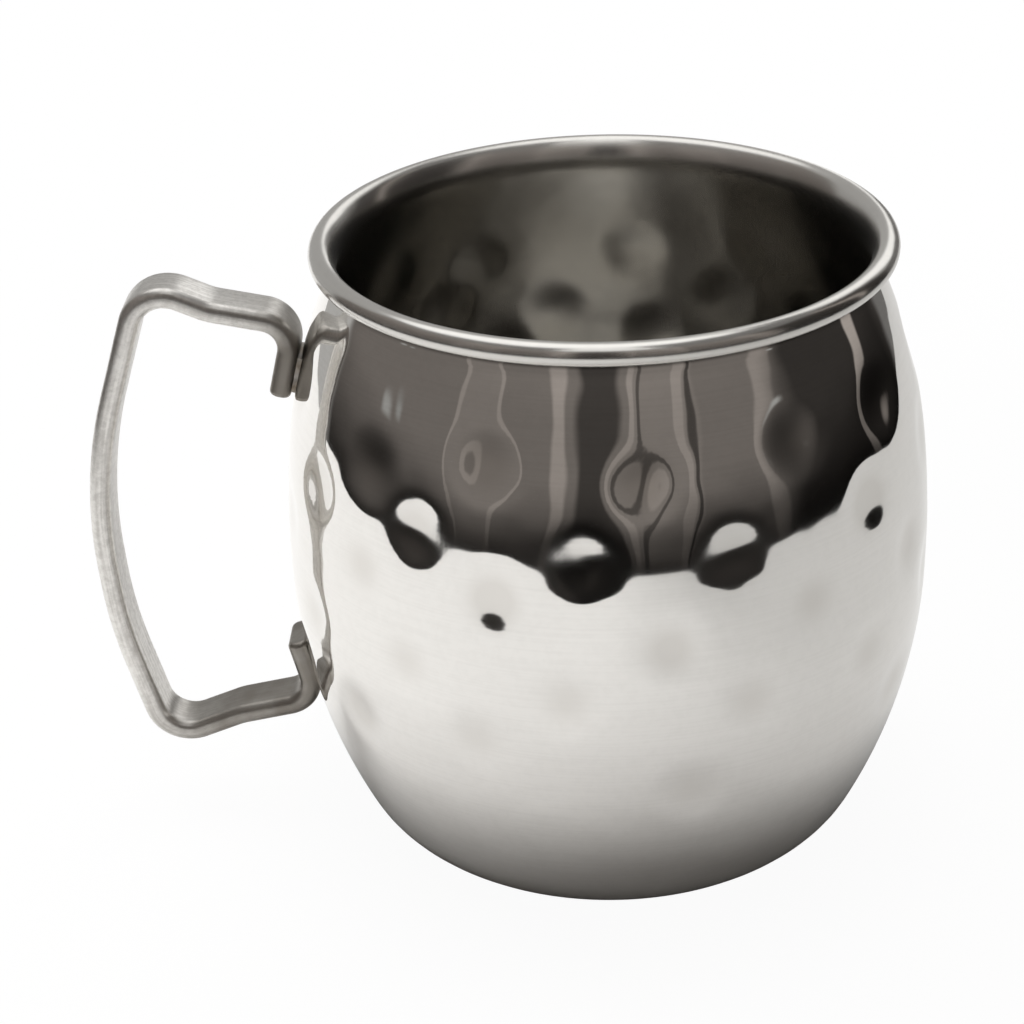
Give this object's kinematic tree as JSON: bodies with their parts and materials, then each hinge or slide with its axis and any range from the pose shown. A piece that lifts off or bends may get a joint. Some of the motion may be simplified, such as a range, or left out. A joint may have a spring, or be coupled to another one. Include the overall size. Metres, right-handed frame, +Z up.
{
  "type": "hammered barrel mug",
  "caption": "Barrel-shaped hammered steel mug with a rolled lip and a bent flat-bar handle welded to its side, for cold mixed drinks.",
  "frame": {"origin": "on the mug's axis, at the flat underside that stands on the table", "axes": "+Z up along the mug's axis, -X towards the handle, -Y the side that the picture shows"},
  "size_m": [0.1266, 0.0964, 0.095],
  "materials": {
    "polished_steel": "mirror polished outside, satin inside",
    "satin_steel": "satin, brushed along the bar",
    "weld": "as welded, brushed over"
  },
  "bodies": {
    "root": {"mug_body": "polished_steel", "handle": "satin_steel", "upper_weld": "weld", "lower_weld": "weld"}
  },
  "joints": []
}
